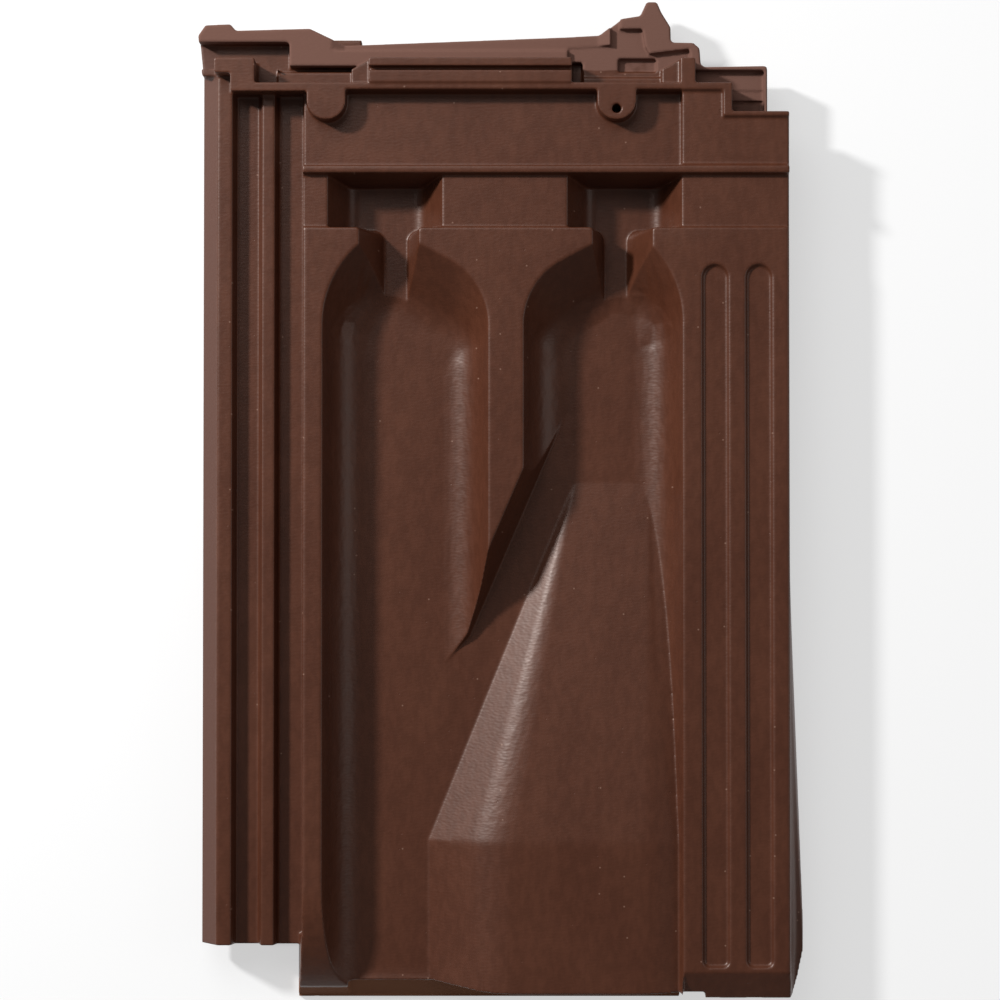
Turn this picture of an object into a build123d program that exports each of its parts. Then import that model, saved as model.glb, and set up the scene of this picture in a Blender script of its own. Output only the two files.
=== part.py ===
"""Double-trough interlocking clay roof tile: one pressed and fired piece.

Millimetres. +X is the right edge, +Y the head (ridge side), +Z the weather face.
The origin is the middle of the underside, on the level the tile lies on.
"""
import os

from build123d import *

os.makedirs("parts", exist_ok=True)

# Overall sizes and clay thickness
tile_length = 479.0
tile_width = 290.0
floor_thickness = 12.0
web_thickness = 11.0
lock_thickness = 9.0
overrun = 5.0
edge_radius = 0.9
lip_radius = 1.3

# Heights of the weather face, each from the level it steps off
trough_depth = 22.0
plateau_drop = 1.2
weather_rib_rise = 3.5
head_rib_rise = 1.5
head_channel_depth = 8.7
lock_rib_drop = 9.5
outer_groove_depth = 7.0
inner_groove_depth = 6.5
pocket_depth = 19.5
facet_drop = 6.0
ledge_drop = 14.0
rim_drop = 11.0
rim_gap_depth = 8.5

# Widths across the cover; the two troughs share what the bands and the ridge leave
left_band_width = 9.5
ridge_width = 17.0
right_band_width = 50.9
trough_difference = 3.2

# Side lock, inward from the left edge of the rim
rim_overhang = 2.0
lock_flare = 8.0
outer_rib_width = 6.9
outer_groove_width = 14.1
inner_rib_width = 6.2
inner_groove_width = 13.8
lock_flare_height = 5.0
lock_wall_lean = 1.6
lock_foot_gap = 27.5

# Lengths along the head, from the front of the rim toward the foot
rim_length = 40.5
head_rib_width = 4.2
head_channel_length = 34.8
weather_rib_width = 5.0
plateau_length = 25.0
rib_lean = 0.8

# Troughs and their arched heads: two shoulders and a crown over the notch
trough_wall_run = 7.4
trough_foot_radius = 20.0
crown_reach = 2.0
crown_offset = 6.7
crown_radius = 14.0
outer_shoulder_drop = 26.0
outer_shoulder_radius = 50.0
inner_shoulder_drop = 27.0
inner_shoulder_radius = 34.0
arch_head_run = 28.0
foot_shoulder_radius = 30.0
foot_crown_radius = 18.0

# Pockets behind the weather rib and the notches that drain them
pocket_width = 54.8
pocket_outer_gap = 11.8
pocket_side_run = 10.0
pocket_back_run = 4.0
pocket_foot_radius = 8.0
notch_floor_width = 11.2
notch_outer_run = 11.5
notch_inner_run = 6.0
left_notch_offset = 28.7
right_notch_offset = 25.5
notch_length = 54.0
notch_mouth_radius = 5.0
notch_lip_radius = 1.5

# Diagonal channel that drains the right trough into the left one
diagonal_wall_angle = 20.0
diagonal_head_gap = 48.9
diagonal_tip_gap = 194.7
diagonal_foot_drop = 14.0
diagonal_head_offset = 54.0
diagonal_tip_offset = 8.8
diagonal_foot_offset = 21.3
diagonal_right_offset = 61.7

# Raised ramp at the foot of the right trough
ramp_start_gap = 118.4
ramp_level_length = 76.4
ramp_drop = 2.0
ramp_edge_fall = 4.5
ramp_start_width = 51.7
ramp_start_run = 1.5
ramp_start_sink = 0.3
ramp_start_radius = 0.4
ramp_level_width = 121.4
ramp_level_run = 30.2
ramp_level_radius = 40.0
ramp_valley_width = 14.9
ramp_bury = 5.0

# Flutes along the right band
flute_width = 13.2
flute_depth = 1.8
flute_wall_angle = 35.0
flute_foot_radius = 3.5
flute_edge_gap = 14.5
flute_pitch = 20.8
flute_foot_gap = 17.7
flute_head_gap = 17.4

# Head rib, its corner round the right band, lugs and nail hole
limb_gap = 27.2
limb_reach = 13.7
limb_foot_width = 3.0
lug_width = 18.6
lug_reach = 13.6
left_lug_gap = 11.2
right_lug_gap = 31.3
nail_hole_diameter = 4.4
nail_hole_gap = 8.3

# Hook, bars and block behind the head rib, with the ledges between them
rear_reach = 11.9
hook_width = 19.2
hook_gap = 23.0
hook_length = 7.4
leg_width = 11.5
recess_width = 10.0
ledge_reach = 7.2
facet_width = 8.5
bar_left_gap = 31.5
bar_length = 96.7
bar_gap_foot = 5.8
bar_gap_width = 2.0
bar_gap_depth = 3.0
far_recess_width = 5.7
block_width = 7.1
block_inset = 0.9
bar_rise = 0.6

# Low rim round the head, as shares of half the width and of the rim's length
rim_corner_radius = 1.6
rim_x_shares = (
    -1.0, -0.976, -0.893, -0.875, -0.63, -0.517, 0.214, 0.33, 0.372, 0.402, 0.465,
    0.486, 0.52, 0.534, 0.565, 0.566, 0.64, 0.661, 0.665, 0.679, 0.885,
)
rim_y_shares = (
    0.6, 0.725, 0.737, 0.66, 0.684, 0.49, 0.59, 0.613, 0.719, 0.8, 0.836,
    1.0, 1.0, 0.88, 0.7, 0.52, 0.515, 0.451, 0.254, 0.227, 0.241,
)
rim_border = 1.4
gap_width = 38.9
gap_foot_reach = 8.2
gap_head_reach = 21.2
ledge_gap_head_reach = 9.7
strip_drop = 2.5
strip_reach = 17.2
strip_left_share = -0.515
strip_right_share = 0.324
strip_lean = 6.5
basin_x_shares = (0.225, 0.225, 0.367, 0.367, 0.397, 0.397, 0.472, 0.482, 0.495, 0.628, 0.631, 0.6)
basin_y_shares = (0.1, 0.464, 0.488, 0.75, 0.8, 0.674, 0.68, 0.464, 0.383, 0.441, 0.3, 0.1)
well_drop = 3.0
well_left_share = 0.393
well_right_share = 0.519
well_head_reach = 13.6
stair_head_reach = 7.6
stair_middle_setback = 1.5
stair_low_setback = 6.4
stair_head_drop = 4.0
stair_middle_drop = 4.6
stair_low_drop = 6.2

# Foot of the tile: fronts of the bands, troughs and ramp, and the flares
ramp_front_gap = 4.5
trough_front_gap = 9.5
front_lip_gap = 1.0
front_lip_height = 2.5
front_corner_gap = 21.0
band_bend_length = 13.0
band_bend_drop = 7.0
band_front_gap = 2.8
curl_length = 50.0
curl_drop = 20.0
curl_front_gap = 6.5
left_flare = 3.3
left_flare_height = 30.0
right_flare = 7.2
head_flare = 0.6
right_flare_start_gap = 212.0
right_flare_full_gap = 35.0
right_flare_end_gap = 22.0
right_flare_turn_gap = 11.0
right_flare_turn_share = 0.65

# Underside: hollows, the cover lock and the hanging nibs
under_wall = 11.0
cover_clearance = 1.2
hollow_wall_lean = 6.0
hollow_corner_radius = 3.0
ridge_hollow_width = 17.0
ridge_hollow_foot_gap = 114.5
head_hollow_gap = 7.5
ramp_hollow_start_gap = 185.5
ramp_hollow_start_width = 50.0
ramp_hollow_lean = 14.0
ramp_hollow_width = 70.0
nib_width = 32.0
nib_thickness = 10.5
nib_lean = 1.8
batten_space = 51.0

# Levels, up from the underside
trough_z = floor_thickness
main_z = trough_z + trough_depth
plateau_z = main_z - plateau_drop
weather_rib_z = plateau_z + weather_rib_rise
head_rib_z = main_z + head_rib_rise
channel_z = head_rib_z - head_channel_depth
lock_rib_z = head_rib_z - lock_rib_drop
outer_groove_z = lock_rib_z - outer_groove_depth
inner_groove_z = lock_rib_z - inner_groove_depth
under_z = outer_groove_z - lock_thickness
pocket_z = plateau_z - pocket_depth
facet_z = head_rib_z - facet_drop
ledge_z = head_rib_z - ledge_drop
rim_z = head_rib_z - rim_drop
rim_gap_z = rim_z - rim_gap_depth
cover_under_z = inner_groove_z + cover_clearance
cover_groove_z = lock_rib_z + cover_clearance / 2
ramp_top_z = main_z - ramp_drop
clear_z = weather_rib_z + overrun

# Stations across the tile
lock_left_edge = -tile_width / 2 + rim_overhang
outer_rib_left = lock_left_edge + lock_flare
outer_rib_right = outer_rib_left + outer_rib_width
inner_rib_left = outer_rib_right + outer_groove_width
inner_rib_right = inner_rib_left + inner_rib_width
band_left_edge = inner_rib_right + inner_groove_width
band_right_edge = tile_width / 2 - right_flare
cover_width = band_right_edge - band_left_edge
troughs_width = cover_width - left_band_width - ridge_width - right_band_width
left_trough_left = band_left_edge + left_band_width
left_trough_right = left_trough_left + (troughs_width + trough_difference) / 2
right_trough_left = left_trough_right + ridge_width
right_trough_right = band_right_edge - right_band_width
core_right = right_trough_right + web_thickness / 2
left_lug_x = band_left_edge + left_lug_gap
right_lug_x = right_trough_right - right_lug_gap
limb_right = band_right_edge - limb_gap
limb_left = limb_right - head_rib_width
leg_right = band_left_edge - hook_gap
hook_left = leg_right - hook_width
leg_left = leg_right - leg_width
bar_left = band_left_edge + bar_left_gap
bar_right = bar_left + bar_length
block_left = right_trough_right - block_inset
block_right = block_left + block_width

# Stations along the tile
foot_y = -tile_length / 2
head_y = tile_length / 2
head_rib_y = head_y - rim_length
channel_head_y = head_rib_y - head_rib_width
rib_head_y = channel_head_y - head_channel_length
rib_foot_y = rib_head_y - weather_rib_width
step_y = rib_foot_y - plateau_length
rear_y = head_rib_y + rear_reach
limb_y = head_rib_y - limb_reach
arch_crown_y = step_y + crown_reach
lock_foot_y = foot_y + lock_foot_gap


def cross_section(y, points):
    """Return a face across the tile at y, from (x, z) points."""
    with BuildSketch(Plane.XZ.offset(-y)) as section:
        with BuildLine():
            Polyline(*points, close=True)
        make_face()
    return section.sketch


def plan_prism(points, low_z, high_z, radius=0.0):
    """Return a solid with the plan outline given, its corners rounded by radius."""
    with BuildPart() as prism:
        with BuildSketch(Plane.XY.offset(low_z)) as outline:
            with BuildLine():
                Polyline(*points, close=True)
            make_face()
            if radius > 0:
                fillet(outline.vertices(), radius)
        extrude(amount=high_z - low_z)
    return prism.part


def plan_box(left, right, foot, head, low_z, high_z, radius=0.0):
    """Return a block between the stations and levels given."""
    points = ((left, foot), (right, foot), (right, head), (left, head))
    return plan_prism(points, low_z, high_z, radius)


def standing_block(left, right, foot, head, high_z):
    """Return a block on the head's underside, its upright edges rounded."""
    with BuildPart() as block:
        with BuildSketch(Plane.XY.offset(under_z)) as outline:
            with Locations(((left + right) / 2, (foot + head) / 2)):
                Rectangle(right - left, head - foot)
            fillet(outline.vertices(), edge_radius)
        extrude(amount=high_z - under_z)
    return block.part


def side_prism(left, right, points, radius=0.0):
    """Return a solid from left to right with the (y, z) outline given."""
    with BuildPart() as prism:
        with BuildSketch(Plane.YZ.offset(left)) as outline:
            with BuildLine():
                Polyline(*points, close=True)
            make_face()
            if radius > 0:
                fillet(outline.vertices(), radius)
        extrude(amount=right - left)
    return prism.part


# Section of the side lock: flare, two ribs and two grooves
with BuildSketch(Plane.XZ.offset(-rear_y)) as lock_section:
    with BuildLine():
        Polyline(
            (band_left_edge + web_thickness, under_z),
            (lock_left_edge, under_z),
            (lock_left_edge, under_z + lock_flare_height),
            (outer_rib_left, lock_rib_z),
            (outer_rib_right, lock_rib_z),
            (outer_rib_right + lock_wall_lean, outer_groove_z),
            (inner_rib_left - lock_wall_lean, outer_groove_z),
            (inner_rib_left, lock_rib_z),
            (inner_rib_right, lock_rib_z),
            (inner_rib_right + lock_wall_lean, inner_groove_z),
            (band_left_edge + web_thickness, inner_groove_z),
            close=True,
        )
    make_face()
    fillet(lock_section.vertices(), edge_radius)
side_lock = extrude(lock_section.sketch, amount=rear_y - lock_foot_y)

# Section of the troughs and bands: solid core, and the flange that covers the next lock
groove_clear = cover_clearance / 2
with BuildSketch(Plane.XZ.offset(-head_rib_y)) as main_section:
    with BuildLine():
        Polyline(
            (band_left_edge, clear_z),
            (band_left_edge, under_z),
            (band_left_edge + under_wall / 2, under_z),
            (band_left_edge + under_wall / 2, 0),
            (core_right, 0),
            (core_right, cover_under_z),
            (outer_rib_left + cover_width - groove_clear, cover_under_z),
            (outer_rib_left + cover_width - groove_clear, cover_groove_z),
            (outer_rib_right + cover_width + groove_clear, cover_groove_z),
            (outer_rib_right + cover_width + groove_clear, cover_under_z),
            (inner_rib_left + cover_width - groove_clear, cover_under_z),
            (inner_rib_left + cover_width - groove_clear, cover_groove_z),
            (inner_rib_right + cover_width + groove_clear, cover_groove_z),
            (inner_rib_right + cover_width + groove_clear, cover_under_z),
            (band_right_edge, cover_under_z),
            (band_right_edge, clear_z),
            close=True,
        )
    make_face()
body = extrude(main_section.sketch, amount=head_rib_y - foot_y)


def trough_outline(z, inset, arch, head_inset, radii):
    """Return the plan of a trough at z: straight sides and an arched head."""
    left, left_drop, crown_x, right, right_drop = arch
    crown_y = arch_crown_y - head_inset
    with BuildSketch(Plane.XY.offset(z)) as outline:
        with BuildLine():
            sides = FilletPolyline(
                (left + inset, foot_y - overrun),
                (left + inset, crown_y - left_drop),
                (crown_x, crown_y),
                (right - inset, crown_y - right_drop),
                (right - inset, foot_y - overrun),
                radius=radii,
            )
            Line(sides @ 1, sides @ 0)
        make_face()
    return outline.sketch


def trough_air(arch, shoulder_radii):
    """Return the air of one trough: leaning walls and a rounded foot all round."""
    left_radius, right_radius = shoulder_radii
    foot_radii = (foot_shoulder_radius, foot_crown_radius, foot_shoulder_radius)
    low = trough_outline(trough_z, trough_wall_run, arch, arch_head_run, foot_radii)
    high = trough_outline(main_z, 0, arch, 0, (left_radius, crown_radius, right_radius))
    with BuildPart() as trough:
        loft([low, high], ruled=True)
        fillet(trough.edges().group_by(Axis.Z)[0], trough_foot_radius)
        extrude(high, amount=overrun)
    return trough.part


left_notch_x = left_trough_left + left_notch_offset + notch_floor_width / 2
right_notch_x = right_trough_right - right_notch_offset - notch_floor_width / 2
left_crown_x = left_notch_x - crown_offset
right_crown_x = right_notch_x + crown_offset
left_arch = (left_trough_left, outer_shoulder_drop, left_crown_x, left_trough_right, inner_shoulder_drop)
right_arch = (right_trough_left, inner_shoulder_drop, right_crown_x, right_trough_right, outer_shoulder_drop)
left_trough = trough_air(left_arch, (outer_shoulder_radius, inner_shoulder_radius))
right_trough = trough_air(right_arch, (inner_shoulder_radius, outer_shoulder_radius))


def pocket_air(left, right):
    """Return the air of one pocket: leaning sides and back, rounded feet."""
    with BuildPart() as pocket:
        with BuildSketch(Plane.XY.offset(pocket_z)):
            with BuildLine():
                Polyline(
                    (left + pocket_side_run, step_y),
                    (right - pocket_side_run, step_y),
                    (right - pocket_side_run, rib_foot_y - pocket_back_run),
                    (left + pocket_side_run, rib_foot_y - pocket_back_run),
                    close=True,
                )
            make_face()
        with BuildSketch(Plane.XY.offset(plateau_z)) as mouth:
            with BuildLine():
                Polyline((left, step_y), (right, step_y), (right, rib_foot_y), (left, rib_foot_y), close=True)
            make_face()
        loft(ruled=True)
        fillet(pocket.edges().filter_by(Axis.Y).group_by(Axis.Z)[0], pocket_foot_radius)
        extrude(mouth.sketch, amount=overrun)
    return pocket.part


def notch_outline(z, left, right, corner):
    """Return the plan of a notch at z, flaring into its pocket by round corners."""
    bend = corner * (1 - 0.5**0.5)
    with BuildSketch(Plane.XY.offset(z)) as outline:
        with BuildLine():
            side = Line((left, step_y - notch_length), (left, step_y - corner))
            flare = ThreePointArc(side @ 1, (left - bend, step_y - bend), (left - corner, step_y))
            mouth = Line(flare @ 1, (right + corner, step_y))
            far_flare = ThreePointArc(mouth @ 1, (right + bend, step_y - bend), (right, step_y - corner))
            far_side = Line(far_flare @ 1, (right, step_y - notch_length))
            Line(far_side @ 1, side @ 0)
        make_face()
    return outline.sketch


def notch_air(centre, left_run, right_run):
    """Return the air of one notch that drains a pocket into its trough."""
    left = centre - notch_floor_width / 2
    right = centre + notch_floor_width / 2
    low = notch_outline(pocket_z, left, right, notch_mouth_radius)
    high = notch_outline(main_z, left - left_run, right + right_run, notch_lip_radius)
    with BuildPart() as notch:
        loft([low, high], ruled=True)
        extrude(high, amount=overrun)
    return notch.part


left_pocket_left = band_left_edge + pocket_outer_gap
left_pocket = pocket_air(left_pocket_left, left_pocket_left + pocket_width)
right_pocket = pocket_air(right_trough_right - pocket_width, right_trough_right)
left_notch = notch_air(left_notch_x, notch_outer_run, notch_inner_run)
right_notch = notch_air(right_notch_x, notch_inner_run, notch_outer_run)

# Diagonal channel through the ridge between the troughs
diagonal_head_y = step_y - diagonal_head_gap
diagonal_tip_y = step_y - diagonal_tip_gap
with BuildPart() as diagonal_channel:
    with BuildSketch(Plane.XY.offset(trough_z)):
        with BuildLine():
            Polyline(
                (left_trough_right + diagonal_head_offset, diagonal_head_y),
                (left_trough_right - diagonal_tip_offset, diagonal_tip_y),
                (left_trough_right - diagonal_foot_offset, diagonal_tip_y - diagonal_foot_drop),
                (left_trough_right - diagonal_foot_offset, foot_y - overrun),
                (left_trough_right + diagonal_right_offset, foot_y - overrun),
                (left_trough_right + diagonal_right_offset, diagonal_head_y - diagonal_foot_drop),
                close=True,
            )
        make_face()
    extrude(amount=main_z + overrun - trough_z, taper=-diagonal_wall_angle)


def ramp_section(y, width, run, top_z, fall, radius):
    """Return the ramp's clay at y, from its left foot to inside the right wall."""
    base_z = trough_z - ramp_bury
    left = right_trough_right - width
    with BuildSketch(Plane.XZ.offset(-y)) as section:
        with BuildLine():
            Polyline(
                (left, base_z),
                (left, min(trough_z, top_z - fall)),
                (left + run, top_z),
                (right_trough_right - ramp_valley_width, top_z),
                (core_right, top_z - fall),
                (core_right, base_z),
                close=True,
            )
        make_face()
        fillet(section.vertices().group_by(Axis.Y)[-1], radius)
    return section.sketch


# Raised ramp at the foot of the right trough
ramp_level_y = foot_y + ramp_level_length
ramp_start = ramp_section(
    step_y - ramp_start_gap,
    ramp_start_width,
    ramp_start_run,
    trough_z - ramp_start_sink,
    ramp_start_sink,
    ramp_start_radius,
)
ramp_level = ramp_section(
    ramp_level_y, ramp_level_width, ramp_level_run, ramp_top_z, ramp_edge_fall, ramp_level_radius
)
with BuildPart() as ramp:
    extrude(ramp_level, amount=ramp_level_y - foot_y)
    loft([ramp_start, ramp_level], ruled=True)


def flute_air(x):
    """Return the air of one flute: round at the head, square at the foot."""
    shoulder_y = step_y - flute_head_gap - flute_width / 2
    with BuildPart() as flute:
        with BuildSketch(Plane.XY.offset(main_z)) as outline:
            with BuildLine():
                side = Line((x - flute_width / 2, shoulder_y), (x - flute_width / 2, foot_y + flute_foot_gap))
                end = Line(side @ 1, (x + flute_width / 2, foot_y + flute_foot_gap))
                far_side = Line(end @ 1, (x + flute_width / 2, shoulder_y))
                ThreePointArc(far_side @ 1, (x, shoulder_y + flute_width / 2), side @ 0)
            make_face()
            fillet(outline.vertices().group_by(Axis.Y)[0], flute_foot_radius)
        extrude(amount=-flute_depth, taper=flute_wall_angle)
    return flute.part


def head_air(left, right, floor_z, rib_y):
    """Return the air over the head: plateau, weather rib, channel and head rib."""
    return side_prism(
        left,
        right,
        (
            (step_y, clear_z + overrun),
            (step_y, plateau_z),
            (rib_foot_y, plateau_z),
            (rib_foot_y + rib_lean, weather_rib_z),
            (rib_head_y - rib_lean, weather_rib_z),
            (rib_head_y, floor_z),
            (rib_y, floor_z),
            (rib_y + rib_lean, head_rib_z),
            (rear_y + overrun, head_rib_z),
            (rear_y + overrun, clear_z + overrun),
        ),
        edge_radius,
    )


def lug(x):
    """Return one round-nosed lug that hangs from the head rib into the channel."""
    nose_y = channel_head_y - lug_reach
    shoulder_y = nose_y + lug_width / 2
    with BuildPart() as part:
        with BuildSketch(Plane.XY.offset(under_z)):
            with BuildLine():
                side = Line((x - lug_width / 2, head_rib_y - edge_radius), (x - lug_width / 2, shoulder_y))
                nose = ThreePointArc(side @ 1, (x, nose_y), (x + lug_width / 2, shoulder_y))
                far_side = Line(nose @ 1, (x + lug_width / 2, head_rib_y - edge_radius))
                Line(far_side @ 1, side @ 0)
            make_face()
        extrude(amount=head_rib_z - under_z)
    return part.part


# Plate of the low rim, and the steps and gaps cut into it
hook_foot_y = rear_y - hook_length
rim_right = tile_width / 2 * rim_x_shares[-1]
rim_points = [(tile_width / 2 * x, head_rib_y + rim_length * y) for x, y in zip(rim_x_shares, rim_y_shares)]
rim_points += [
    (rim_right, limb_y),
    (limb_left, limb_y),
    (limb_left, channel_head_y),
    (leg_left, channel_head_y),
    (leg_left, hook_foot_y),
    (lock_left_edge, hook_foot_y),
]
rim_plate = plan_prism(rim_points, under_z, rim_z, rim_corner_radius)
basin_shares = zip(basin_x_shares, basin_y_shares)
basin_points = [(tile_width / 2 * x, head_rib_y + rim_length * y) for x, y in basin_shares]
gap_right = leg_right + gap_width - hook_gap
ledge_left = leg_right + recess_width
ledge_y = head_rib_y + ledge_reach
dark_gap_y = head_rib_y + ledge_gap_head_reach
strip_air = extrude(
    cross_section(
        head_y + overrun,
        (
            (tile_width / 2 * strip_left_share, rim_z - strip_drop),
            (tile_width / 2 * strip_right_share, rim_z - strip_drop),
            (tile_width / 2 * strip_right_share + strip_lean, rim_z),
            (tile_width / 2 * strip_right_share + strip_lean, clear_z),
            (tile_width / 2 * strip_left_share - strip_lean, clear_z),
            (tile_width / 2 * strip_left_share - strip_lean, rim_z),
        ),
    ),
    amount=head_y + overrun - head_rib_y - strip_reach,
)
stair_rear_air = side_prism(
    block_right,
    rim_right - rim_border,
    (
        (head_rib_y, clear_z),
        (head_rib_y, rim_z - stair_head_drop),
        (head_rib_y + stair_head_reach, rim_z - stair_head_drop),
        (head_rib_y + stair_head_reach, clear_z),
    ),
)
stair_air = side_prism(
    limb_right,
    rim_right - rim_border,
    (
        (head_rib_y + overrun, clear_z),
        (head_rib_y + overrun, rim_z - stair_head_drop),
        (head_rib_y - stair_middle_setback, rim_z - stair_head_drop),
        (head_rib_y - stair_middle_setback, rim_z - stair_middle_drop),
        (head_rib_y - stair_low_setback, rim_z - stair_middle_drop),
        (head_rib_y - stair_low_setback, rim_z - stair_low_drop),
        (limb_y, rim_z - stair_low_drop),
        (limb_y, clear_z),
    ),
)
rim_air = [
    strip_air,
    stair_rear_air,
    stair_air,
    plan_prism(basin_points, ledge_z, clear_z),
    plan_box(
        tile_width / 2 * well_left_share,
        tile_width / 2 * well_right_share,
        ledge_y,
        head_rib_y + well_head_reach,
        ledge_z - well_drop,
        clear_z,
        edge_radius,
    ),
    plan_box(
        -tile_width / 2 - overrun,
        gap_right,
        head_rib_y + gap_foot_reach,
        head_rib_y + gap_head_reach,
        rim_gap_z,
        clear_z,
        rim_corner_radius,
    ),
    plan_box(leg_right - overrun, ledge_left, head_rib_y, rear_y, rim_gap_z, clear_z),
    plan_box(ledge_left, bar_left, head_rib_y, ledge_y, ledge_z, clear_z),
    plan_box(gap_right - overrun, bar_left + overrun, ledge_y, dark_gap_y, rim_gap_z, clear_z),
    plan_box(bar_right - overrun, bar_right + far_recess_width, head_rib_y, rear_y, rim_gap_z, clear_z),
]


def facet(right):
    """Return the step between a ledge and the block on its right, cut off aslant at the rear."""
    left = right - facet_width
    points = ((left, head_rib_y), (right, head_rib_y), (right, rear_y), (left, ledge_y))
    return plan_prism(points, under_z, facet_z)


head_blocks = [
    standing_block(leg_left, band_left_edge + overrun, channel_head_y, head_rib_y, head_rib_z),
    standing_block(hook_left, leg_right, hook_foot_y, rear_y, head_rib_z),
    standing_block(leg_left, leg_right, channel_head_y, rear_y, head_rib_z),
    standing_block(bar_left, bar_right, head_rib_y, rear_y, head_rib_z + bar_rise),
    standing_block(block_left, block_right, head_rib_y, rear_y, head_rib_z),
    facet(bar_left),
    facet(block_left),
    lug(left_lug_x),
    lug(right_lug_x),
]
bar_gap_y = head_rib_y + bar_gap_foot
bar_gap_air = plan_box(
    bar_left - overrun,
    bar_right + overrun,
    bar_gap_y,
    bar_gap_y + bar_gap_width,
    head_rib_z - bar_gap_depth,
    clear_z,
)

# Foot: the fronts of the troughs and of the right band, and the curl of the left band
front_corner_x = band_left_edge + front_corner_gap
trough_front_air = side_prism(
    front_corner_x,
    core_right + overrun,
    (
        (foot_y - overrun, clear_z),
        (foot_y + ramp_front_gap, clear_z),
        (foot_y + ramp_front_gap, main_z),
        (foot_y + trough_front_gap, trough_z),
        (foot_y + front_lip_gap, front_lip_height),
        (foot_y - overrun, front_lip_height),
    ),
)
band_front_air = side_prism(
    right_trough_right,
    tile_width / 2 + overrun,
    (
        (foot_y - overrun, clear_z),
        (foot_y + band_front_gap + band_bend_length, clear_z),
        (foot_y + band_front_gap + band_bend_length, main_z),
        (foot_y + band_front_gap, main_z - band_bend_drop),
        (foot_y + band_front_gap, -overrun),
        (foot_y - overrun, -overrun),
    ),
)
curl_end_y = foot_y + curl_front_gap
with BuildPart() as curl_air:
    with BuildSketch(Plane.YZ.offset(band_left_edge - 2 * overrun)):
        with BuildLine():
            sky = Line((foot_y - overrun, clear_z), (curl_end_y + curl_length, clear_z))
            drop = Line(sky @ 1, (curl_end_y + curl_length, main_z))
            curl = TangentArc(drop @ 1, (curl_end_y, main_z - curl_drop), tangent=(-1, 0))
            front = Line(curl @ 1, (foot_y + front_lip_gap, front_lip_height))
            under = Line(front @ 1, (foot_y - overrun, front_lip_height))
            Line(under @ 1, sky @ 0)
        make_face()
    extrude(amount=front_corner_gap + 2 * overrun)

# Flares: the left band's side face, and the edge that rests on the next tile
left_flare_clay = extrude(
    cross_section(
        lock_foot_y + overrun,
        (
            (band_left_edge, main_z),
            (band_left_edge - left_flare, main_z - left_flare_height),
            (band_left_edge - left_flare, 0),
            (band_left_edge + overrun, 0),
            (band_left_edge + overrun, main_z),
        ),
    ),
    amount=lock_foot_y + overrun - foot_y,
)
flare_stations = (
    (limb_y - limb_foot_width, 0.0),
    (foot_y + right_flare_start_gap, 0.0),
    (foot_y + right_flare_full_gap, 1.0),
    (foot_y + right_flare_end_gap, 1.0),
    (foot_y + right_flare_turn_gap, right_flare_turn_share),
    (foot_y, 0.0),
)


def flare_outline(z, reach):
    """Return the plan of the right flare at z, where reach is its width at full flare."""
    inner = band_right_edge - overrun
    least = min(head_flare, reach)
    outer = [(band_right_edge + least + (reach - least) * share, y) for y, share in flare_stations]
    with BuildSketch(Plane.XY.offset(z)) as outline:
        with BuildLine():
            Polyline((inner, foot_y), (inner, limb_y - limb_foot_width), *outer, close=True)
        make_face()
    return outline.sketch


with BuildPart() as right_flare_clay:
    loft([flare_outline(cover_under_z, right_flare), flare_outline(main_z - lip_radius, 0)], ruled=True)

# Hollows of the underside, under the ridge, the head and the ramp
ridge_x = left_trough_right + ridge_width / 2
ridge_hollow_z = main_z - floor_thickness
with BuildPart() as ridge_hollow:
    with BuildSketch(Plane.XZ.offset(-rib_foot_y)) as hollow_section:
        with BuildLine():
            Polyline(
                (ridge_x - ridge_hollow_width / 2, -overrun),
                (ridge_x - ridge_hollow_width / 2, 0),
                (ridge_x - ridge_hollow_width / 2 + hollow_wall_lean, ridge_hollow_z),
                (ridge_x + ridge_hollow_width / 2 - hollow_wall_lean, ridge_hollow_z),
                (ridge_x + ridge_hollow_width / 2, 0),
                (ridge_x + ridge_hollow_width / 2, -overrun),
                close=True,
            )
        make_face()
    extrude(amount=rib_foot_y - step_y + ridge_hollow_foot_gap)
ramp_hollow_sections = [
    cross_section(
        y,
        (
            (right_trough_right - web_thickness - width, -overrun),
            (right_trough_right - web_thickness - width + lean, top),
            (right_trough_right - web_thickness - lean, top),
            (right_trough_right - web_thickness, -overrun),
        ),
    )
    for y, width, lean, top in (
        (step_y - ramp_hollow_start_gap, ramp_hollow_start_width, 0, 0),
        (ramp_level_y, ramp_hollow_width + ramp_hollow_lean, ramp_hollow_lean, ramp_top_z - floor_thickness),
    )
]
with BuildPart() as ramp_hollow:
    loft(ramp_hollow_sections, ruled=True)
    extrude(ramp_hollow_sections[1], amount=ramp_level_y - foot_y - trough_front_gap - under_wall)
head_hollow = plan_box(
    left_pocket_left + pocket_width + under_wall / 2,
    right_trough_right - pocket_width - under_wall / 2,
    step_y - head_hollow_gap,
    rib_foot_y,
    -overrun,
    plateau_z - floor_thickness,
    hollow_corner_radius,
)
batten_air = plan_box(lock_left_edge, tile_width / 2, rib_head_y, head_y + overrun, -overrun, under_z)


def nib(x):
    """Return one hanging nib below the head, upright toward the batten and leaning behind."""
    foot = rib_head_y + batten_space
    head = foot + nib_thickness
    root_z = under_z + overrun / 2
    points = ((foot, 0), (head, 0), (head + nib_lean, root_z), (foot, root_z))
    return side_prism(x - nib_width / 2, x + nib_width / 2, points)


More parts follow.
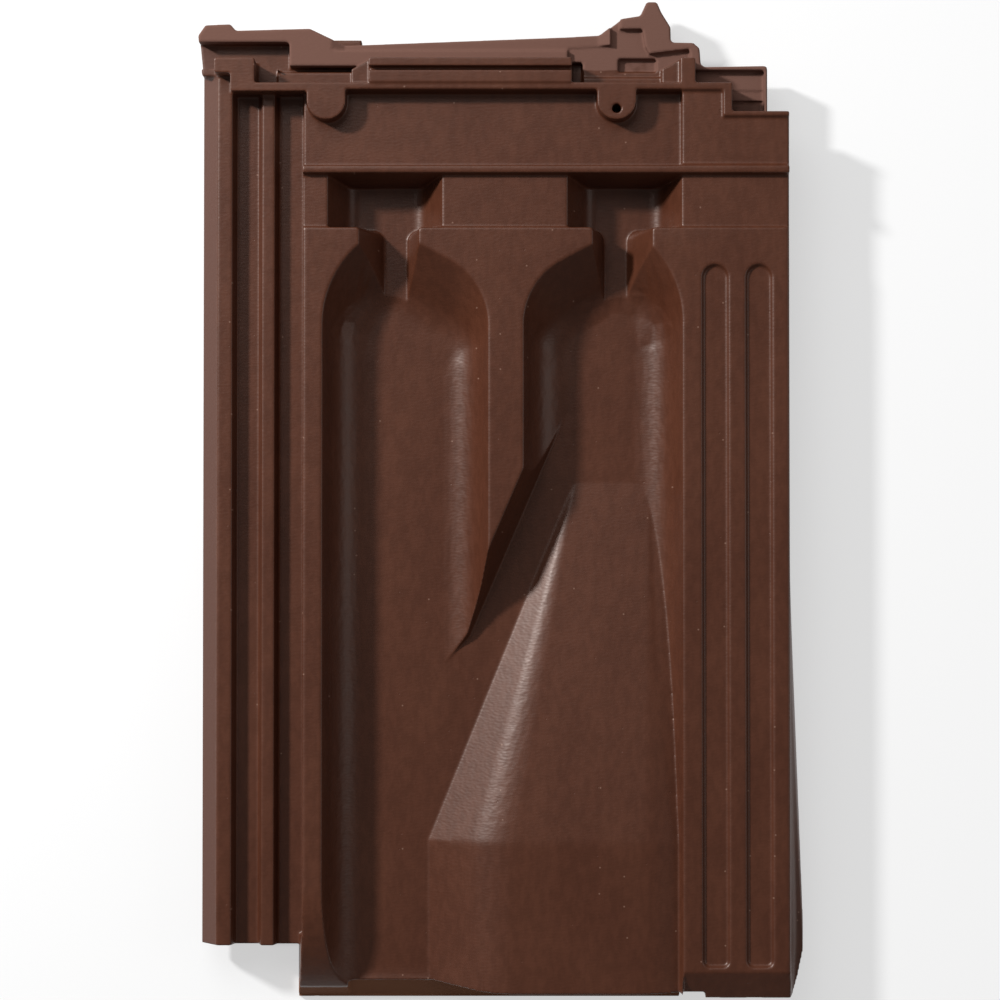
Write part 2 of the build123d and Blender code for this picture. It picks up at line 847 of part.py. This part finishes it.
weather_air = [
    head_air(band_left_edge - overrun, right_trough_right, channel_z, channel_head_y),
    head_air(right_trough_right, limb_left, main_z, channel_head_y),
    head_air(limb_left, band_right_edge + overrun, main_z, limb_y - limb_foot_width),
    left_pocket,
    right_pocket,
    left_notch,
    right_notch,
    diagonal_channel.part,
    flute_air(band_right_edge - flute_edge_gap - flute_pitch),
    flute_air(band_right_edge - flute_edge_gap),
    plan_box(limb_right, band_right_edge + overrun, limb_y, head_rib_y + overrun, -overrun, clear_z + overrun),
]
sky = plan_box(
    band_left_edge - overrun, band_right_edge + overrun, foot_y - overrun, step_y, main_z, clear_z + overrun
)

with BuildPart() as tile:
    add(body)
    add([sky, left_trough, right_trough], mode=Mode.SUBTRACT)
    top_edges = tile.edges().filter_by_position(Axis.Z, main_z, main_z)
    mouths = top_edges.filter_by_position(Axis.Y, foot_y + edge_radius, step_y - edge_radius)
    fillet(mouths, lip_radius)
    add([left_flare_clay, right_flare_clay.part])
    add(weather_air, mode=Mode.SUBTRACT)
    add(ramp.part)
    add([ridge_hollow.part, ramp_hollow.part, head_hollow], mode=Mode.SUBTRACT)
    add([trough_front_air, band_front_air, curl_air.part], mode=Mode.SUBTRACT)
    add([side_lock, rim_plate])
    add([batten_air, *rim_air], mode=Mode.SUBTRACT)
    add([*head_blocks, nib(left_lug_x), nib(right_lug_x)])
    add(bar_gap_air, mode=Mode.SUBTRACT)
    with Locations((right_lug_x, channel_head_y - nail_hole_gap, head_rib_z)):
        Hole(radius=nail_hole_diameter / 2)

tile.part.label = "tile"
export_step(tile.part, "parts/tile.step")
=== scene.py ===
"""Studio view of a brown engobed double-trough clay roof tile.

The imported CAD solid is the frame. Its visible skin is a copy of that solid with
the pressed edges rounded, dressed as fired clay with a satin engobe.
All lengths are metres, in the CAD frame: +X right, +Y head, +Z weather face.
"""
import logging
import math
from dataclasses import dataclass, field
from enum import Enum

import bmesh
import bpy
import numpy as np
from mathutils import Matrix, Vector


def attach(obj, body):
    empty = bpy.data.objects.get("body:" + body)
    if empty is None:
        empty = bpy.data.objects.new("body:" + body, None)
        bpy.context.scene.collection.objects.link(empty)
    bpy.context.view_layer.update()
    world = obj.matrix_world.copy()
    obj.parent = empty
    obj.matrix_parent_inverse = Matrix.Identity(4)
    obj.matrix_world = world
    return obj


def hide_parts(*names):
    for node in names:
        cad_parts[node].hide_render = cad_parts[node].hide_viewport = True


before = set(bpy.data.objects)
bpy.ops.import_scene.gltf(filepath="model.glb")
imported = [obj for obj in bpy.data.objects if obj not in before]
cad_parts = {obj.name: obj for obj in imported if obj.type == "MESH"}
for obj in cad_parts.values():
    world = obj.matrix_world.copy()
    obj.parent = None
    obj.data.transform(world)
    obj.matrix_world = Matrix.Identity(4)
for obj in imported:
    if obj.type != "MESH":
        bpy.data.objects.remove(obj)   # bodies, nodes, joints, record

LOG = logging.getLogger("roof_tile")
MM = 0.001
Colour = tuple[float, float, float]
Source = bpy.types.NodeSocket | float
WHITE = (1.0, 1.0, 1.0, 1.0)


class Socket(Enum):
    """Kinds of socket that the shader groups use."""

    NUMBER = "NodeSocketFloat"
    VECTOR = "NodeSocketVector"


def add_node(tree: bpy.types.NodeTree, kind: str, **settings: object) -> bpy.types.Node:
    """Add a node to a tree and set its attributes.

    Args:
        tree: The tree that gets the node.
        kind: The node's type.
        **settings: Attributes to set on it.

    Returns:
        The new node.
    """
    node = tree.nodes.new(kind)
    for name, value in settings.items():
        setattr(node, name, value)
    return node


def feed(tree: bpy.types.NodeTree, target: bpy.types.NodeSocket, value: Source) -> None:
    """Link a socket to an input, or set the input to a number.

    Args:
        tree: The tree that holds the input.
        target: The input.
        value: A socket or a number.
    """
    if isinstance(value, bpy.types.NodeSocket):
        tree.links.new(value, target)
    else:
        target.default_value = value


class GroupBuilder:
    """Builds one shader node group with named inputs and outputs."""

    def __init__(self, name: str) -> None:
        """Start an empty group.

        Args:
            name: The group's name.
        """
        self.tree = bpy.data.node_groups.new(name, "ShaderNodeTree")
        self.entry = self.tree.nodes.new("NodeGroupInput")
        self.exit = self.tree.nodes.new("NodeGroupOutput")

    def take(self, name: str, kind: Socket) -> bpy.types.NodeSocket:
        """Add a named input.

        Args:
            name: The input's name.
            kind: The kind of socket.

        Returns:
            The socket that carries the input inside the group.
        """
        self.tree.interface.new_socket(name, in_out="INPUT", socket_type=kind.value)
        return self.entry.outputs[name]

    def give(self, name: str, source: bpy.types.NodeSocket) -> None:
        """Add a named number as output.

        Args:
            name: The output's name.
            source: What the output carries.
        """
        self.tree.interface.new_socket(name, in_out="OUTPUT", socket_type=Socket.NUMBER.value)
        self.tree.links.new(source, self.exit.inputs[name])

    def math(self, operation: str, *values: Source) -> bpy.types.NodeSocket:
        """Add one sum of numbers or sockets.

        Args:
            operation: The math node's operation.
            *values: The sockets or numbers that it works on.

        Returns:
            The socket with the result.
        """
        node = add_node(self.tree, "ShaderNodeMath", operation=operation)
        for index, value in enumerate(values):
            feed(self.tree, node.inputs[index], value)
        return node.outputs["Value"]

    def ramp(self, value: Source, low: float, high: float) -> bpy.types.NodeSocket:
        """Add a smooth step that runs from 0 at low to 1 at high.

        Args:
            value: The socket that is compared.
            low: Where the result is 0.
            high: Where the result is 1.

        Returns:
            The socket with the result.
        """
        node = add_node(self.tree, "ShaderNodeMapRange", interpolation_type="SMOOTHSTEP")
        feed(self.tree, node.inputs["Value"], value)
        node.inputs["From Min"].default_value = low
        node.inputs["From Max"].default_value = high
        return node.outputs["Result"]

    def reverse(self, value: Source) -> bpy.types.NodeSocket:
        """Turn a mask round, so that 0 becomes 1.

        Args:
            value: The socket with the mask.

        Returns:
            The socket with the result.
        """
        return self.math("SUBTRACT", 1.0, value)

    def noise(self, vector: bpy.types.NodeSocket, waves: Colour, detail: float,
              rough: float) -> bpy.types.NodeSocket:
        """Add noise whose grain is set by a scale for each axis.

        Args:
            vector: The coordinates in metres.
            waves: Waves per metre along X, Y and Z.
            detail: Finer layers on top of the first.
            rough: How strong the finer layers are.

        Returns:
            The socket with the noise, about 0 to 1.
        """
        scaled = add_node(self.tree, "ShaderNodeVectorMath", operation="MULTIPLY")
        self.tree.links.new(vector, scaled.inputs[0])
        scaled.inputs[1].default_value = waves
        node = add_node(self.tree, "ShaderNodeTexNoise")
        self.tree.links.new(scaled.outputs["Vector"], node.inputs["Vector"])
        node.inputs["Scale"].default_value = 1.0
        node.inputs["Detail"].default_value = detail
        node.inputs["Roughness"].default_value = rough
        return node.outputs["Fac"]

    def parts(self, vector: bpy.types.NodeSocket) -> list[bpy.types.NodeSocket]:
        """Split a vector.

        Args:
            vector: The socket with the vector.

        Returns:
            The sockets with X, Y and Z.
        """
        node = add_node(self.tree, "ShaderNodeSeparateXYZ")
        self.tree.links.new(vector, node.inputs["Vector"])
        return [node.outputs[axis] for axis in "XYZ"]


@dataclass(frozen=True)
class SurfaceRelief:
    """Fine ripples of the sprayed engobe and the grain of rough clay."""

    ripple_waves: Colour = (480.0, 1000.0, 480.0)
    swell_waves: Colour = (210.0, 210.0, 210.0)
    swell_share: float = 0.8
    grain_waves: Colour = (1900.0, 1900.0, 1900.0)

    def group(self) -> bpy.types.NodeTree:
        """Build the group: position in, ripple and grain heights out.

        Returns:
            The node group.
        """
        build = GroupBuilder("surface relief")
        position = build.take("Position", Socket.VECTOR)
        ripple = build.noise(position, self.ripple_waves, detail=0.0, rough=0.5)
        swell = build.noise(position, self.swell_waves, detail=0.0, rough=0.5)
        build.give("Ripples", build.math("MULTIPLY_ADD", swell, self.swell_share, ripple))
        build.give("Grain", build.noise(position, self.grain_waves, detail=1.0, rough=0.7))
        return build.tree


@dataclass(frozen=True)
class EngobeTone:
    """Cloudy tone of the engobe, with a few light grains and dark pin holes."""

    cloud_waves: Colour = (38.0, 17.0, 38.0)
    blotch_waves: Colour = (290.0, 130.0, 290.0)
    contrast: tuple[float, float] = (0.3, 0.7)
    speck_cells: float = 85.0
    speck_core: float = 0.0252
    speck_radius: float = 0.042
    speck_share: float = 0.13

    def group(self) -> bpy.types.NodeTree:
        """Build the group: position in, tone, light specks and pin holes out.

        Returns:
            The node group.
        """
        build = GroupBuilder("engobe tone")
        position = build.take("Position", Socket.VECTOR)
        cloud = build.noise(position, self.cloud_waves, detail=1.0, rough=0.5)
        blotch = build.noise(position, self.blotch_waves, detail=2.0, rough=0.6)
        build.give("Cloud", build.ramp(cloud, *self.contrast))
        build.give("Blotch", build.ramp(blotch, *self.contrast))
        near, chance = self.scatter(build, position)
        dot = build.reverse(build.ramp(near, self.speck_core, self.speck_radius))
        light = build.math("LESS_THAN", chance, self.speck_share)
        dark = build.math("GREATER_THAN", chance, 1.0 - self.speck_share)
        build.give("Specks", build.math("MULTIPLY", dot, light))
        build.give("Pin Holes", build.math("MULTIPLY", dot, dark))
        return build.tree

    def scatter(self, build: GroupBuilder, position: bpy.types.NodeSocket) -> tuple:
        """Scatter one dot in each cell of the plan, with a chance value for each cell.

        Args:
            build: The group being built.
            position: The coordinates in metres.

        Returns:
            The distance to the nearest dot and its cell's chance value.
        """
        node = add_node(build.tree, "ShaderNodeTexVoronoi", feature="F1", voronoi_dimensions="2D")
        build.tree.links.new(position, node.inputs["Vector"])
        node.inputs["Scale"].default_value = self.speck_cells
        parts = add_node(build.tree, "ShaderNodeSeparateColor")
        build.tree.links.new(node.outputs["Color"], parts.inputs["Color"])
        return node.outputs["Distance"], parts.outputs["Red"]


@dataclass(frozen=True)
class ClayPlaces:
    """Where the engobe is thin or missing: the rim, the flare, the foot and the underside."""

    rim_y: float = 206.6 * MM
    rim_low: float = 18.0 * MM
    rim_top: float = 28.0 * MM
    stair_x: float = 94.5 * MM
    stair_y: float = 185.2 * MM
    flare_x: float = -135.4 * MM
    flare_top: float = 25.4 * MM
    front_y: float = -229.6 * MM
    front_top: float = 11.8 * MM
    edge: float = 0.7 * MM
    wander: float = 1.6 * MM
    wander_waves: Colour = (160.0, 160.0, 160.0)
    under_facing: tuple[float, float] = (0.15, 0.5)

    def group(self) -> bpy.types.NodeTree:
        """Build the group: position and normal in, masks of thin engobe and bare clay out.

        Returns:
            The node group.
        """
        build = GroupBuilder("clay places")
        position = build.take("Position", Socket.VECTOR)
        normal = build.take("Normal", Socket.VECTOR)
        noise = build.noise(position, self.wander_waves, detail=1.0, rough=0.6)
        drift = build.math("MULTIPLY", build.math("SUBTRACT", noise, 0.5), self.wander)
        x, y, z = [build.math("ADD", part, drift) for part in build.parts(position)]
        level = build.math("SUBTRACT", self.above(build, z, self.rim_low), self.above(build, z, self.rim_top))
        behind = self.above(build, y, self.rim_y)
        stair = build.math("MULTIPLY", self.above(build, x, self.stair_x), self.above(build, y, self.stair_y))
        build.give("Rim", build.math("MULTIPLY", level, build.math("MAXIMUM", behind, stair)))
        build.give("Flare", self.low_edge(build, x, self.flare_x, z, self.flare_top))
        front = self.low_edge(build, y, self.front_y, z, self.front_top)
        down = build.math("MULTIPLY", build.parts(normal)[2], -1.0)
        under = build.ramp(down, *self.under_facing)
        build.give("Bare", build.math("MAXIMUM", front, under))
        return build.tree

    def above(self, build: GroupBuilder, value: bpy.types.NodeSocket, limit: float) -> bpy.types.NodeSocket:
        """Mask what lies past a limit.

        Args:
            build: The group being built.
            value: The socket with a coordinate.
            limit: The limit.

        Returns:
            The socket with the mask.
        """
        return build.ramp(value, limit, limit + self.edge)

    def low_edge(self, build: GroupBuilder, side: bpy.types.NodeSocket, limit: float,
                 z: bpy.types.NodeSocket, top: float) -> bpy.types.NodeSocket:
        """Mask a low strip on the side where a coordinate is smallest.

        Args:
            build: The group being built.
            side: The socket with the coordinate.
            limit: The strip lies below this value of it.
            z: The socket with the height.
            top: The strip lies below this height.

        Returns:
            The socket with the mask.
        """
        outer = self.above(build, build.math("MULTIPLY", side, -1.0), -limit)
        return build.math("MULTIPLY", outer, build.reverse(self.above(build, z, top)))


@dataclass(frozen=True)
class Finish:
    """How one state of the surface looks under even light."""

    colour: Colour
    roughness: float
    gloss: float


@dataclass(frozen=True)
class Engobe:
    """Satin brown engobe on fired clay, thin and rough at the rim, missing underneath."""

    name: str = "engobed_clay"
    deep: Colour = (0.0735, 0.0215, 0.0098)
    pale: Colour = (0.0845, 0.0262, 0.0125)
    speck: Colour = (0.19, 0.10, 0.07)
    blotch_tone: tuple[float, float] = (0.92, 1.09)
    grain_tone: tuple[float, float] = (0.95, 1.05)
    roughness: tuple[float, float] = (0.385, 0.415)
    gloss: float = 0.52
    gloss_tint: Colour = (1.0, 0.88, 0.82)
    flare: Finish = Finish((0.078, 0.026, 0.0145), 0.58, 0.52)
    rim: Finish = Finish((0.160, 0.081, 0.062), 0.68, 0.08)
    bare: Finish = Finish((0.26, 0.110, 0.058), 0.82, 0.15)
    ripple_height: float = 0.044 * MM
    grain_height: float = 0.045 * MM
    pin_hole_depth: float = 0.045 * MM

    def build(self) -> bpy.types.Material:
        """Build the material.

        Returns:
            The finished material.
        """
        material = bpy.data.materials.new(self.name)
        material.use_nodes = True
        tree = material.node_tree
        shader = tree.nodes["Principled BSDF"]
        where = add_node(tree, "ShaderNodeTexCoord")
        relief = self.group_node(tree, SurfaceRelief().group(), where)
        tone = self.group_node(tree, EngobeTone().group(), where)
        places = self.group_node(tree, ClayPlaces().group(), where)
        tree.links.new(where.outputs["Normal"], places.inputs["Normal"])
        colour = self.blend(tree, tone.outputs["Cloud"], self.deep, self.pale)
        colour = self.shade(tree, tone.outputs["Blotch"], colour, self.blotch_tone)
        colour = self.blend(tree, tone.outputs["Specks"], colour, self.speck)
        rough = self.between(tree, tone.outputs["Blotch"], *self.roughness)
        gloss = self.gloss
        for mask, finish in (("Flare", self.flare), ("Rim", self.rim), ("Bare", self.bare)):
            colour = self.blend(tree, places.outputs[mask], colour, finish.colour)
            rough = self.between(tree, places.outputs[mask], rough, finish.roughness)
            gloss = self.between(tree, places.outputs[mask], gloss, finish.gloss)
        colour = self.shade(tree, relief.outputs["Grain"], colour, self.grain_tone)
        tree.links.new(colour, shader.inputs["Base Color"])
        tree.links.new(rough, shader.inputs["Roughness"])
        tree.links.new(gloss, shader.inputs["Specular IOR Level"])
        shader.inputs["Specular Tint"].default_value = (*self.gloss_tint, 1.0)
        grain = self.between(tree, places.outputs["Rim"], 0.0, relief.outputs["Grain"])
        bump = self.bump(tree, relief.outputs["Ripples"], self.ripple_height)
        bump = self.bump(tree, grain, self.grain_height, below=bump)
        bump = self.bump(tree, tone.outputs["Pin Holes"], self.pin_hole_depth, below=bump, sunk=True)
        tree.links.new(bump, shader.inputs["Normal"])
        return material

    def group_node(self, tree: bpy.types.NodeTree, group: bpy.types.NodeTree,
                   where: bpy.types.Node) -> bpy.types.Node:
        """Add a group to the material and give it the object's own coordinates.

        Args:
            tree: The material's tree.
            group: The node group.
            where: The node with the coordinates.

        Returns:
            The group's node.
        """
        node = add_node(tree, "ShaderNodeGroup", node_tree=group)
        tree.links.new(where.outputs["Object"], node.inputs["Position"])
        return node

    def blend(self, tree: bpy.types.NodeTree, mask: bpy.types.NodeSocket,
              base: bpy.types.NodeSocket | Colour, top: Colour) -> bpy.types.NodeSocket:
        """Lay one colour over another.

        Args:
            tree: The material's tree.
            mask: How much of the top colour shows.
            base: The colour below, or its socket.
            top: The colour above.

        Returns:
            The socket with the blended colour.
        """
        node = add_node(tree, "ShaderNodeMix", data_type="RGBA")
        tree.links.new(mask, node.inputs["Factor"])
        feed(tree, node.inputs[6], base if isinstance(base, bpy.types.NodeSocket) else (*base, 1.0))
        feed(tree, node.inputs[7], (*top, 1.0))
        return node.outputs[2]

    def between(self, tree: bpy.types.NodeTree, mask: bpy.types.NodeSocket, low: Source,
                high: Source) -> bpy.types.NodeSocket:
        """Blend two numbers.

        Args:
            tree: The material's tree.
            mask: How much of the high number counts.
            low: The number or socket where the mask is 0.
            high: The number or socket where the mask is 1.

        Returns:
            The socket with the blended number.
        """
        node = add_node(tree, "ShaderNodeMix", data_type="FLOAT")
        tree.links.new(mask, node.inputs["Factor"])
        feed(tree, node.inputs[2], low)
        feed(tree, node.inputs[3], high)
        return node.outputs[0]

    def shade(self, tree: bpy.types.NodeTree, mask: bpy.types.NodeSocket,
              colour: bpy.types.NodeSocket, factors: tuple[float, float]) -> bpy.types.NodeSocket:
        """Darken or lighten a colour by a mask.

        Args:
            tree: The material's tree.
            mask: The mask.
            colour: The socket with the colour.
            factors: The factors where the mask is 0 and where it is 1.

        Returns:
            The socket with the shaded colour.
        """
        node = add_node(tree, "ShaderNodeVectorMath", operation="SCALE")
        tree.links.new(colour, node.inputs[0])
        tree.links.new(self.between(tree, mask, *factors), node.inputs["Scale"])
        return node.outputs["Vector"]

    def bump(self, tree: bpy.types.NodeTree, height: bpy.types.NodeSocket, distance: float,
             below: bpy.types.NodeSocket | None = None, sunk: bool = False) -> bpy.types.NodeSocket:
        """Add fine relief.

        Args:
            tree: The material's tree.
            height: The socket with the height.
            distance: The height's full size.
            below: The normal that the relief lies on, if any.
            sunk: Whether the relief goes into the surface.

        Returns:
            The socket with the new normal.
        """
        node = add_node(tree, "ShaderNodeBump", invert=sunk)
        node.inputs["Distance"].default_value = distance
        tree.links.new(height, node.inputs["Height"])
        if below is not None:
            tree.links.new(below, node.inputs["Normal"])
        return node.outputs["Normal"]


@dataclass
class TileSkin:
    """The visible clay: a copy of the CAD solid with every pressed edge softened."""

    node: str = "tile"
    merge_gap: float = 0.004 * MM
    voxel: float = 0.6 * MM
    smooth_factor: float = 0.5
    smooth_rounds: int = 2
    kept_share: float = 0.088
    level_y: float = -163.0 * MM
    level_reach: float = 8.0 * MM
    level_left: float = -24.0 * MM
    level_right: float = 82.0 * MM
    level_rounds: int = 70
    finish: Engobe = field(default_factory=Engobe)

    def build(self) -> bpy.types.Object:
        """Build the skin and let it stand for the CAD node.

        Returns:
            The visible tile.
        """
        fine = self.fine_clay()
        skin = bpy.data.objects.new("tile_skin", fine.data.copy())
        bpy.context.scene.collection.objects.link(skin)
        self.thin(skin, fine)
        bpy.data.objects.remove(fine)
        skin.data.materials.clear()
        skin.data.materials.append(self.finish.build())
        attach(skin, "root")
        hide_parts(self.node)
        LOG.info("tile skin: %d faces", len(skin.data.polygons))
        return skin

    def merged_copy(self) -> bpy.types.Mesh:
        """Copy the CAD solid's mesh with its loose triangles joined.

        Returns:
            The closed mesh.
        """
        mesh = bpy.data.objects[self.node].data.copy()
        mesh.name = "tile_skin"
        edit = bmesh.new()
        edit.from_mesh(mesh)
        bmesh.ops.remove_doubles(edit, verts=edit.verts, dist=self.merge_gap)
        edit.to_mesh(mesh)
        edit.free()
        return mesh

    def fine_clay(self) -> bpy.types.Object:
        """Round the edges of the merged copy by fine voxels.

        Returns:
            An object with the dense, soft-edged mesh.
        """
        fine = bpy.data.objects.new("fine_clay", self.merged_copy())
        bpy.context.scene.collection.objects.link(fine)
        remesh = fine.modifiers.new("fine clay", "REMESH")
        remesh.mode = "VOXEL"
        remesh.voxel_size = self.voxel
        remesh.use_smooth_shade = True
        self.smooth(fine, "soft edges", self.smooth_rounds)
        self.apply(fine)
        self.soften_level_break(fine)
        return fine

    def smooth(self, item: bpy.types.Object, name: str, rounds: int) -> bpy.types.Modifier:
        """Add a modifier that evens out the vertices.

        Args:
            item: The object.
            name: The modifier's name.
            rounds: How many times it runs.

        Returns:
            The modifier.
        """
        modifier = item.modifiers.new(name, "SMOOTH")
        modifier.factor = self.smooth_factor
        modifier.iterations = rounds
        return modifier

    def soften_level_break(self, fine: bpy.types.Object) -> None:
        """Round the line where the ramp turns level, as pressed clay does.

        Args:
            fine: The object with the dense mesh.
        """
        places = np.empty(len(fine.data.vertices) * 3, dtype=np.float32)
        fine.data.vertices.foreach_get("co", places)
        x, y, _ = places.reshape(-1, 3).T
        near = (np.abs(y - self.level_y) < self.level_reach) & (x > self.level_left) & (x < self.level_right)
        group = fine.vertex_groups.new(name="level break")
        group.add(np.flatnonzero(near).tolist(), 1.0, "REPLACE")
        self.smooth(fine, "level break", self.level_rounds).vertex_group = group.name
        self.apply(fine)

    def thin(self, skin: bpy.types.Object, fine: bpy.types.Object) -> None:
        """Drop faces where the clay is flat, and keep the dense mesh's shading.

        Args:
            skin: The object that is thinned.
            fine: The object with the dense mesh.
        """
        fewer = skin.modifiers.new("fewer faces", "DECIMATE")
        fewer.ratio = self.kept_share
        shading = skin.modifiers.new("fine shading", "DATA_TRANSFER")
        shading.object = fine
        shading.use_loop_data = True
        shading.data_types_loops = {"CUSTOM_NORMAL"}
        shading.loop_mapping = "POLYINTERP_NEAREST"
        self.apply(skin)

    def apply(self, item: bpy.types.Object) -> None:
        """Apply an object's modifiers.

        Args:
            item: The object.
        """
        evaluated = item.evaluated_get(bpy.context.evaluated_depsgraph_get())
        applied = bpy.data.meshes.new_from_object(evaluated)
        item.modifiers.clear()
        item.data = applied


class LampShape(Enum):
    """Outlines of a lamp, as Blender names them."""

    ROUND = "DISK"
    SQUARE = "SQUARE"


@dataclass(frozen=True)
class Lamp:
    """A soft lamp that is aimed at the middle of the tile."""

    name: str
    place: Colour
    size: float
    radiance: float
    shape: LampShape = LampShape.SQUARE

    def build(self) -> bpy.types.Object:
        """Build the lamp.

        Returns:
            The lamp's object.
        """
        light = bpy.data.lights.new(self.name, "AREA")
        light.shape = self.shape.value
        light.size = self.size
        area = self.size**2 * (math.pi / 4 if self.shape is LampShape.ROUND else 1.0)
        light.energy = self.radiance * math.pi * area
        lamp = bpy.data.objects.new(self.name, light)
        lamp.location = self.place
        lamp.rotation_euler = Vector(self.place).to_track_quat("Z", "Y").to_euler()
        bpy.context.scene.collection.objects.link(lamp)
        return lamp


@dataclass
class Studio:
    """Pale floor, soft lamps and the camera above the weather face."""

    face_height: float = 34 * MM
    image_span: float = 475 * MM
    camera_distance: float = 1350 * MM
    camera_tilt: float = math.radians(1.3)
    sensor_width: float = 36.0
    floor_size: float = 30.0
    floor_colour: Colour = (0.45, 0.45, 0.45)
    floor_roughness: float = 0.9
    floor_gloss: float = 0.2
    floor_glow: float = 0.55
    # Half sizes of the floor under the tile that gets no glow there: painted shade under the tile.
    covered: tuple[float, float] = (100 * MM, 205 * MM)
    cover_edge: float = 12 * MM
    room_level: float = 0.14
    lamps: tuple[Lamp, ...] = (
        Lamp("key", (-1.386, 0.910, 1.118), 0.192, 459.0, LampShape.ROUND),
        Lamp("head", (-0.5, 1.15, 1.4), 1.2, 2.3),
        Lamp("fill", (1.35, 0.1, 0.8), 0.8, 1.15),
    )

    def build(self) -> None:
        """Build the floor, the lamps, the world and the camera."""
        self.build_floor()
        for lamp in self.lamps:
            lamp.build()
        self.build_world()
        self.build_camera()

    def build_floor(self) -> None:
        """Build the floor, which looks white, keeps the tile's shadow and is painted in shade under the tile.
        """
        half = self.floor_size / 2
        corners = [(-half, -half, 0), (half, -half, 0), (half, half, 0), (-half, half, 0)]
        mesh = bpy.data.meshes.new("floor")
        mesh.from_pydata(corners, [], [(0, 1, 2, 3)])
        material = bpy.data.materials.new("floor")
        material.use_nodes = True
        material.cycles.emission_sampling = "NONE"
        tree = material.node_tree
        shader = tree.nodes["Principled BSDF"]
        shader.inputs["Base Color"].default_value = (*self.floor_colour, 1.0)
        shader.inputs["Roughness"].default_value = self.floor_roughness
        shader.inputs["Specular IOR Level"].default_value = self.floor_gloss
        shader.inputs["Emission Color"].default_value = WHITE
        glow = add_node(tree, "ShaderNodeMath", operation="MULTIPLY")
        # The glow is taken off under the tile, which paints shade on the floor there.
        tree.links.new(self.seen_rays(tree), glow.inputs[0])
        tree.links.new(self.glow_with_painted_shade_under_tile(tree), glow.inputs[1])
        tree.links.new(glow.outputs["Value"], shader.inputs["Emission Strength"])
        mesh.materials.append(material)
        floor = bpy.data.objects.new("floor", mesh)
        bpy.context.scene.collection.objects.link(floor)

    def larger(self, tree: bpy.types.NodeTree, first: bpy.types.NodeSocket,
               second: bpy.types.NodeSocket) -> bpy.types.NodeSocket:
        """Take the larger of two sockets.

        Args:
            tree: The floor material's tree.
            first: One socket.
            second: The other socket.

        Returns:
            The socket with the result.
        """
        node = add_node(tree, "ShaderNodeMath", operation="MAXIMUM")
        tree.links.new(first, node.inputs[0])
        tree.links.new(second, node.inputs[1])
        return node.outputs["Value"]

    def seen_rays(self, tree: bpy.types.NodeTree) -> bpy.types.NodeSocket:
        """Find the rays that show the floor: straight, mirrored or seen through glass.

        Args:
            tree: The floor material's tree.

        Returns:
            The socket that is 1 for such a ray.
        """
        path = add_node(tree, "ShaderNodeLightPath")
        total = path.outputs["Is Camera Ray"]
        for kind in ("Is Glossy Ray", "Is Transmission Ray"):
            total = self.larger(tree, total, path.outputs[kind])
        return total

    def glow_with_painted_shade_under_tile(self, tree: bpy.types.NodeTree) -> bpy.types.NodeSocket:
        """Keep the glow off the floor that the tile covers, a painted shade under the tile, so that its holes
        look dark.

        Args:
            tree: The floor material's tree.

        Returns:
            The socket with the glow's level at each place.
        """
        where = add_node(tree, "ShaderNodeTexCoord")
        parts = add_node(tree, "ShaderNodeSeparateXYZ")
        tree.links.new(where.outputs["Object"], parts.inputs["Vector"])
        outside = []
        for axis, reach in zip("XY", self.covered):
            size = add_node(tree, "ShaderNodeMath", operation="ABSOLUTE")
            tree.links.new(parts.outputs[axis], size.inputs[0])
            past = add_node(tree, "ShaderNodeMapRange", interpolation_type="SMOOTHSTEP")
            tree.links.new(size.outputs["Value"], past.inputs["Value"])
            past.inputs["From Min"].default_value = reach
            past.inputs["From Max"].default_value = reach + self.cover_edge
            past.inputs["To Max"].default_value = self.floor_glow
            outside.append(past.outputs["Result"])
        return self.larger(tree, *outside)

    def build_world(self) -> None:
        """Build the even light of the room."""
        world = bpy.data.worlds.new("studio")
        bpy.context.scene.world = world
        world.use_nodes = True
        background = world.node_tree.nodes["Background"]
        background.inputs["Color"].default_value = WHITE
        background.inputs["Strength"].default_value = self.room_level

    def build_camera(self) -> None:
        """Build the camera, which looks down on the middle of the weather face."""
        camera = bpy.data.cameras.new("camera")
        camera.sensor_width = self.sensor_width
        camera.lens = self.sensor_width * self.camera_distance / self.image_span
        eye = bpy.data.objects.new("camera", camera)
        back = -math.sin(self.camera_tilt) * self.camera_distance
        up = math.cos(self.camera_tilt) * self.camera_distance
        eye.location = (0.0, back, self.face_height + up)
        eye.rotation_euler = (self.camera_tilt, 0.0, 0.0)
        bpy.context.scene.collection.objects.link(eye)
        bpy.context.scene.camera = eye


def main() -> None:
    """Build the scene in order."""
    logging.basicConfig(level=logging.INFO)
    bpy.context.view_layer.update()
    TileSkin().build()
    Studio().build()
    bpy.context.scene.view_settings.view_transform = "Standard"


if __name__ == "__main__":
    main()
